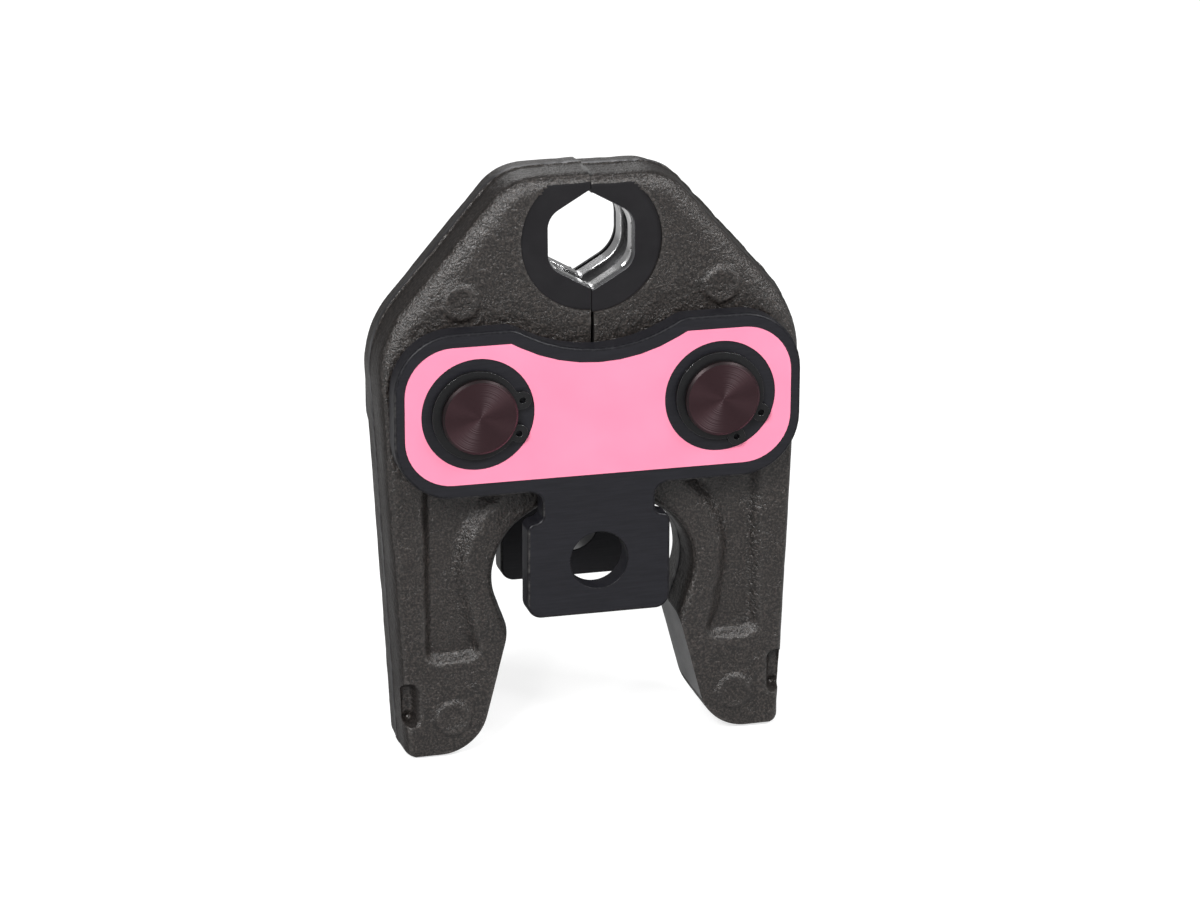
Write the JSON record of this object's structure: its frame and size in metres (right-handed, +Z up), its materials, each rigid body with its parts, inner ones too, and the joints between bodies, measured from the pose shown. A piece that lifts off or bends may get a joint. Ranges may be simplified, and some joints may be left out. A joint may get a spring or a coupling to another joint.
{
  "type": "press fitting tool jaw",
  "caption": "Scissor-type jaw for a press fitting tool, with forged levers hinged between link plates on pivot pins and a six-sided pressing mouth.",
  "frame": {"origin": "centre of the tool bolt bore, half way between the two link plates", "axes": "+Y along the tool bolt bore, from the labelled face to the plain face; +Z up from the bolt bore to the pressing mouth; +X across both pivot pins, to the right as seen from the labelled face"},
  "size_m": [0.1029, 0.039, 0.1423],
  "materials": {
    "forged_lever": "phosphated forging, grainy satin brown-grey",
    "link_plate": "blued and faintly brushed",
    "pivot_pin": "turned end faces, dark red-brown",
    "retaining_ring": "black phosphated spring steel",
    "spring_wire": "drawn spring wire",
    "label": "matt pink printed film"
  },
  "bodies": {
    "frame": {"front_plate": "link_plate", "back_plate": "link_plate", "left_pin": "pivot_pin", "right_pin": "pivot_pin", "front_left_ring": "retaining_ring", "front_right_ring": "retaining_ring", "back_left_ring": "retaining_ring", "back_right_ring": "retaining_ring", "closing_spring": "spring_wire", "label": "label"},
    "left_lever": {"left_lever": "forged_lever"},
    "right_lever": {"right_lever": "forged_lever"}
  },
  "joints": [
    {"name": "left_hinge", "type": "hinge", "parent": "frame", "child": "left_lever", "pos_m": [-0.02925, 0, 0.0385], "axis": [0, -1, 0], "range_deg": [0, 15], "stiffness_Nm_per_rad": 1, "springref_deg": -20.05, "deforming": ["closing_spring"]},
    {"name": "right_hinge", "type": "hinge", "parent": "frame", "child": "right_lever", "pos_m": [0.02925, 0, 0.0385], "axis": [0, 1, 0], "range_deg": [0, 15], "stiffness_Nm_per_rad": 1, "springref_deg": -20.05}
  ]
}
